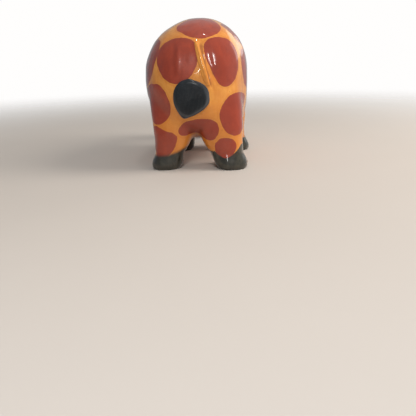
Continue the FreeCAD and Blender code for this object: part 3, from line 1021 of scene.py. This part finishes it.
def build_brushed_paint(name):
    """Paint that was brushed on by hand: thin and thick streaks of two shades of one colour."""
    tree, given, out = shader_group(
        name,
        {"Thin": (0.8, 0.4, 0.1, 1), "Thick": (0.5, 0.2, 0.05, 1), "Blotches": 60.0, "Strokes": 420.0,
         "Amount": 0.6},
        {"Color": COLOUR, "Thickness": FLOAT},
    )
    broad = noise_node(tree, stretched_place(tree), given["Blotches"], 4, 0.55, 0.4)
    upright = stretched_place(tree, (1, 1, 0.18), (0.25, 0.35, 0.1))
    streaks = noise_node(tree, upright, given["Strokes"], 3, 0.6, 0.3)
    level = stretched_place(tree, (0.25, 1, 1), (0.1, -0.3, 0.5))
    cross = noise_node(tree, level, given["Strokes"], 2, 0.5)
    both = scaled(tree, streaks, 0.35, times(tree, cross, 0.20))
    thickness = ramp_between(tree, scaled(tree, broad, 0.75, both), 0.42, 0.86)
    share = times(tree, thickness, given["Amount"])
    feed(tree, out, {"Color": mix_colour(tree, share, given["Thin"], given["Thick"]), "Thickness": thickness})


def build_painted_edge(name):
    """The mask of a painted shape from the distance inside it, with the wander of a hand-held brush."""
    tree, given, out = shader_group(
        name,
        {"Distance": 0.0, "Wander": 0.5, "Ragged": 0.15, "Softness": 0.15},
        {"Mask": FLOAT, "Distance": FLOAT},
    )
    where = stretched_place(tree)
    slow = math_node(tree, "SUBTRACT", noise_node(tree, where, 190.0, 2, 0.5), 0.5)
    fast = math_node(tree, "SUBTRACT", noise_node(tree, where, 1500.0, 3, 0.6), 0.5)
    moved = scaled(tree, slow, given["Wander"], given["Distance"])
    moved = scaled(tree, fast, given["Ragged"], moved)
    low = times(tree, given["Softness"], -1.0)
    feed(tree, out, {"Mask": ramp_between(tree, moved, low, given["Softness"]), "Distance": moved})


def build_specks(name):
    """Small dark specks of dust and paint."""
    tree, given, out = shader_group(name, {"Spacing": 260.0, "Size": 0.1, "Share": 0.2}, {"Mask": FLOAT})
    where = stretched_place(tree)
    cells = new_node(tree, "TexVoronoi", {"Vector": where, "Scale": given["Spacing"]})
    bend = noise_node(tree, where, 2600.0, 2, 0.5)
    near = scaled(tree, bend, 0.10, cells["Distance"])
    dot = math_node(tree, "LESS_THAN", near, given["Size"])
    chance = new_node(tree, "SeparateColor", {0: cells["Color"]})[0]
    chosen = math_node(tree, "LESS_THAN", chance, given["Share"])
    feed(tree, out, {"Mask": times(tree, dot, chosen)})


def build_knife_marks(name):
    """The fine relief under the varnish: sanding scratches, small flats and the grain of the wood."""
    tree, given, out = shader_group(name, {"Flats": 160.0, "Grain": 900.0}, {"Height": FLOAT})
    upright = stretched_place(tree, (1, 1, 0.5), (0.2, 0.1, 0.3))
    flats = noise_node(tree, upright, given["Flats"], 2, 0.45, 0.6)
    lengthwise = stretched_place(tree, (1, 0.12, 1), (0.05, 0.1, 0.08))
    grain = noise_node(tree, lengthwise, given["Grain"], 3, 0.6)
    feed(tree, out, {"Height": scaled(tree, grain, 0.12, flats)})


GROUPS = {
    "Brushed paint": build_brushed_paint,
    "Painted edge": build_painted_edge,
    "Specks": build_specks,
    "Knife marks": build_knife_marks,
}


def build_groups():
    """Builds each shader group once."""
    for name, build in GROUPS.items():
        if name not in bpy.data.node_groups:
            build(name)


def varnish(shader, roughness=0.06, weight=1.0):
    """A clear gloss coat."""
    shader.inputs["Coat Weight"].default_value = weight
    shader.inputs["Coat Roughness"].default_value = roughness
    shader.inputs["Coat IOR"].default_value = 1.5
    shader.inputs["Specular IOR Level"].default_value = 0.12


def relief(tree, shader, height, strength, depth):
    bump = new_node(tree, "Bump", {"Strength": strength, "Distance": depth, "Height": height})
    feed(tree, shader.inputs, {"Normal": bump[0]})


# ---------------------------------------------------------------- materials

# CREASE_SHADE is painted shade: the dark brown that creases and hollows of the painted wood are darkened
# towards.
SPECK, CREASE_SHADE, DUST = (0.05, 0.022, 0.012), (0.16, 0.045, 0.016), (0.16, 0.15, 0.13)
DEEP_GRAIN = (0.34, 0.20, 0.09)
BEAD_RELIEF, WOOD_RELIEF = 0.03 * MM, 0.08 * MM
FLOOR_REACH = (0.15, 0.80)  # metres from the middle, where the floor starts and ends fading into the backdrop

def fill_painted_wood(tree, shader, scene):
    """Orange ground, brown patches, black hooves, mane and muzzle, all under gloss varnish, with painted
    shade in the creases and towards the bottom.
    """
    paints = scene.statue_colours
    ground = brushed(tree, paints.ground, paints.ground_deep, 75.0, 520.0, 0.75)
    brown = brushed(tree, paints.patch, paints.patch_deep, 95.0, 380.0, 0.8)
    black = brushed(tree, paints.black_thin, paints.black, 140.0, 600.0, 1.0)
    patch = edge(tree, "patch", 1.5, 0.5, 0.14)
    dark = edge(tree, "black", 1.6, 0.9, layer(tree, "black_soft"))
    pale = edge(tree, "cream", 0.8, 0.4, 0.12)

    near_edge = math_node(tree, "ABSOLUTE", math_node(tree, "ADD", patch["Distance"], 0.9))
    rim = inverse(tree, ramp_between(tree, near_edge, 0.1, 1.5))
    rim = times(tree, rim, scaled(tree, ground["Thickness"], 0.5, 0.22))
    # Painted shade: the lower torso and legs are darkened towards the deep orange.
    low = times(tree, layer(tree, "low"), 0.6)
    tone = mix_colour(tree, low, ground["Color"], paints.ground_deep)
    tone = mix_colour(tree, rim, tone, paints.ground_deep)
    tone = mix_colour(tree, pale["Mask"], tone, paints.cream)
    deeper = times(tree, layer(tree, "patch_tone"), 0.45)
    tone = mix_colour(tree, patch["Mask"], tone, mix_colour(tree, deeper, brown["Color"], paints.patch_deep))
    tone = mix_colour(tree, dark["Mask"], tone, black["Color"])
    specks = placed(tree, "Specks", Spacing=190.0, Size=0.10, Share=0.20)
    tone = mix_colour(tree, times(tree, specks["Mask"], 0.75), tone, SPECK)
    # Painted shade: creases and hollows are darkened towards a dark brown.
    hollow = times(tree, ramp_between(tree, layer(tree, "hollow"), 0.12, 0.9), 0.55)
    roughness = scaled(tree, ground["Thickness"], 0.14, 0.30)
    feed(tree, shader.inputs, {"Base Color": mix_colour(tree, hollow, tone, CREASE_SHADE), "Roughness": roughness})
    varnish(shader)

    marks = placed(tree, "Knife marks", Flats=170.0, Grain=1000.0)
    step = math_node(tree, "MAXIMUM", patch["Mask"], dark["Mask"])
    strokes = times(tree, brown["Thickness"], 0.4)
    paint = scaled(tree, step, 0.55, strokes)
    height = math_node(tree, "ADD", times(tree, marks["Height"], 1.4), paint)
    relief(tree, shader, height, 0.9, scene.statue_carving.paint_thickness)


def fill_tuft(tree, shader, scene):
    """Blue black paint with a thin worn rim and a painted highlight on the lower right of that rim."""
    paints = scene.statue_colours
    paint = brushed(tree, paints.tuft_thin, paints.tuft, 120.0, 700.0, 1.0)
    worn = ramp_between(tree, times(tree, layer(tree, "hollow"), -1.0), 0.25, 1.0)
    tone = mix_colour(tree, times(tree, worn, 0.35), paint["Color"], paints.tuft_thin)
    # Painted highlight: the slope of the rim at the lower right is painted a lighter grey.
    rim = edge(tree, "cream", 0.5, 0.5, 0.7)
    tone = mix_colour(tree, times(tree, rim["Mask"], 0.8), tone, paints.tuft_highlight)
    specks = placed(tree, "Specks", Spacing=420.0, Size=0.07, Share=0.12)
    tone = mix_colour(tree, times(tree, specks["Mask"], 0.35), tone, DUST)
    roughness = scaled(tree, paint["Thickness"], 0.15, 0.34)
    feed(tree, shader.inputs, {"Base Color": tone, "Roughness": roughness})
    varnish(shader, 0.22, 0.3)
    marks = placed(tree, "Knife marks", Flats=240.0, Grain=1300.0)
    height = scaled(tree, paint["Thickness"], 0.5, marks["Height"])
    relief(tree, shader, height, 0.8, scene.statue_carving.paint_thickness)


def fill_bead(tree, shader, scene):
    """Polished black bead with a painted brown ring."""
    paints = scene.statue_colours
    ring = edge(tree, "cream", 0.12, 0.08, 0.1)
    iris = brushed(tree, paints.iris, paints.bead, 900.0, 2600.0, 0.6)
    tone = mix_colour(tree, ring["Mask"], paints.bead, iris["Color"])
    roughness = scaled(tree, iris["Thickness"], 0.06, 0.10)
    feed(tree, shader.inputs, {"Base Color": tone, "Roughness": roughness})
    varnish(shader, 0.03)
    marks = placed(tree, "Knife marks", Flats=500.0, Grain=2500.0)
    relief(tree, shader, marks["Height"], 0.3, BEAD_RELIEF)


def fill_bare_wood(tree, shader, scene):
    """Turned bare wood with its grain."""
    marks = placed(tree, "Knife marks", Flats=260.0, Grain=1600.0)
    wood = brushed(tree, scene.statue_colours.bare_wood, DEEP_GRAIN, 150.0, 1500.0, 0.8)
    roughness = scaled(tree, wood["Thickness"], 0.15, 0.55)
    feed(tree, shader.inputs, {"Base Color": wood["Color"], "Roughness": roughness})
    relief(tree, shader, marks["Height"], 0.6, WOOD_RELIEF)


def fill_floor(tree, shader, scene):
    """A pale, matt floor that fades out into the backdrop."""
    pale = scene.statue_colours.floor
    where = stretched_place(tree)
    mottled = noise_node(tree, where, 14.0, 3, 0.5)
    away = new_node(tree, "VectorMath", {0: where}, operation="LENGTH")["Value"]
    alpha = inverse(tree, ramp_between(tree, away, *FLOOR_REACH))
    tone = mix_colour(tree, mottled, pale, [part * 0.965 for part in pale])
    feed(tree, shader.inputs, {"Base Color": tone, "Alpha": alpha})
    shader.inputs["Roughness"].default_value = 0.75
    shader.inputs["Specular IOR Level"].default_value = 0.25


MATERIALS = {
    "painted wood": fill_painted_wood,
    "black tuft paint": fill_tuft,
    "eye bead": fill_bead,
    "bare turned wood": fill_bare_wood,
    "pale floor": fill_floor,
}


def material(name):
    """A material by its name, made when it is first asked for."""
    if name not in bpy.data.materials:
        made = bpy.data.materials.new(name)
        made.use_nodes = True
        MATERIALS[name](made.node_tree, made.node_tree.nodes["Principled BSDF"], bpy.context.scene)
    return bpy.data.materials[name]


# ---------------------------------------------------------------- stage

CAMERA_TURN = 185.56  # degrees round to the left from looking along +Y
CAMERA_TILT = 18.76  # degrees down
CAMERA_ROLL = -1.44
CAMERA_PLACE = (-39.3, RUMP + 297.4, 74.7)
LENS_TO_SENSOR = 1.05764
SENSOR = 36.0
SKY = (0.44, 0.455, 0.46)  # what the statue sees; the camera sees a white backdrop
SKY_LEFT = (0.20, 0.225, 0.25)  # the darker side of the studio, at the giraffe's left
BACKDROP = (1.0, 0.99, 0.98)
FLOOR_HALF_SIZE = 4000.0
AIM = (0, 0, 45)  # what the lights point at


def soft_light(name, spot, size, power, tint, mirrored=True):
    """A rectangular light at a place in mm, aimed at the statue; mirrored lights show in the varnish."""
    lamp = bpy.data.lights.new(name, "AREA")
    lamp.shape = "RECTANGLE"
    lamp.size, lamp.size_y = (side * MM for side in size)
    lamp.energy = power
    lamp.color = tint
    light = new_object(name, lamp)
    light.location = Vector(spot) * MM
    light.rotation_euler = (Vector(AIM) - Vector(spot)).to_track_quat("-Z", "Y").to_euler()
    light.visible_glossy = mirrored


class STATUE_OT_set_stage(bpy.types.Operator):
    """Set the floor, the soft studio light and the camera"""

    bl_idname = "statue.set_stage"
    bl_label = "Set stage"

    def execute(self, context):
        scene = context.scene
        far = FLOOR_HALF_SIZE
        square = [(-far, -far, 0), (far, -far, 0), (far, far, 0), (-far, far, 0)]
        floor = new_object("pale_floor", new_mesh("pale_floor", square, [(0, 1, 2, 3)]))
        floor.data.materials.append(material("pale floor"))

        scene.world = bpy.data.worlds.new("Studio")
        scene.world.use_nodes = True
        sky = scene.world.node_tree
        seen = new_node(sky, "LightPath", {})["Is Camera Ray"]
        leftward = new_node(sky, "SeparateXYZ", {0: new_node(sky, "TexCoord", {})["Generated"]})["X"]
        walls = mix_colour(sky, ramp_between(sky, leftward, -0.1, 0.9), SKY, SKY_LEFT)
        feed(sky, sky.nodes["Background"].inputs, {"Color": mix_colour(sky, seen, walls, BACKDROP)})

        soft_light("key", (-700, 30, 560), (360, 460), 5.6, (1.0, 0.96, 0.90), mirrored=False)
        soft_light("rim", (-520, -680, 400), (520, 420), 0.7, (1.0, 0.97, 0.93))
        soft_light("streak", (-48, RUMP + 500, 430), (46, 330), 1.0, (1.0, 0.99, 0.97))
        soft_light("sheen", (-85, RUMP + 480, 500), (150, 260), 0.65, (1.0, 0.99, 0.97))
        soft_light("top_dot", (-80, RUMP - 30, 760), (24, 24), 0.3, (1.0, 1.0, 1.0))

        camera = new_object("camera", bpy.data.cameras.new("camera"))
        camera.data.sensor_width = SENSOR
        camera.data.lens = SENSOR * LENS_TO_SENSOR
        camera.data.clip_start, camera.data.clip_end = 0.01, 20
        turn = Euler((0, 0, math.radians(CAMERA_TURN))).to_matrix()
        tilt = Euler((math.radians(90 - CAMERA_TILT), 0, 0)).to_matrix()
        roll = Euler((0, 0, math.radians(CAMERA_ROLL))).to_matrix()
        camera.matrix_world = Matrix.Translation(Vector(CAMERA_PLACE) * MM) @ (turn @ tilt @ roll).to_4x4()
        scene.camera = camera
        scene.view_settings.view_transform = "Standard"
        return {"FINISHED"}


# ---------------------------------------------------------------- panel and registration


class STATUE_PT_panel(bpy.types.Panel):
    """Steps and settings of the carved giraffe"""

    bl_idname = "STATUE_PT_panel"
    bl_label = "Carved giraffe"
    bl_space_type = "VIEW_3D"
    bl_region_type = "UI"
    bl_category = "Giraffe"

    def draw(self, context):
        for operator in STEPS:
            self.layout.operator(operator.bl_idname)
        for group in (context.scene.statue_carving, context.scene.statue_colours):
            box = self.layout.box()
            for name in group.bl_rna.properties.keys():
                if name not in ("rna_type", "name"):
                    box.prop(group, name)


STEPS = (
    STATUE_OT_carve_block,
    STATUE_OT_make_ears,
    STATUE_OT_make_horns,
    STATUE_OT_make_eyes,
    STATUE_OT_make_tail,
    STATUE_OT_finish_pegs,
    STATUE_OT_set_stage,
)
CLASSES = (StatueCarving, StatueColours, *STEPS, STATUE_PT_panel)


def register():
    for item in CLASSES:
        bpy.utils.register_class(item)
    bpy.types.Scene.statue_carving = PointerProperty(type=StatueCarving)
    bpy.types.Scene.statue_colours = PointerProperty(type=StatueColours)


def unregister():
    del bpy.types.Scene.statue_colours
    del bpy.types.Scene.statue_carving
    for item in reversed(CLASSES):
        bpy.utils.unregister_class(item)


def main():
    register()
    build_groups()
    bpy.ops.statue.carve_block()
    bpy.ops.statue.make_ears()
    bpy.ops.statue.make_horns()
    bpy.ops.statue.make_eyes()
    bpy.ops.statue.make_tail()
    bpy.ops.statue.finish_pegs()
    bpy.ops.statue.set_stage()
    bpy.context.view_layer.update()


if __name__ == "__main__":
    main()
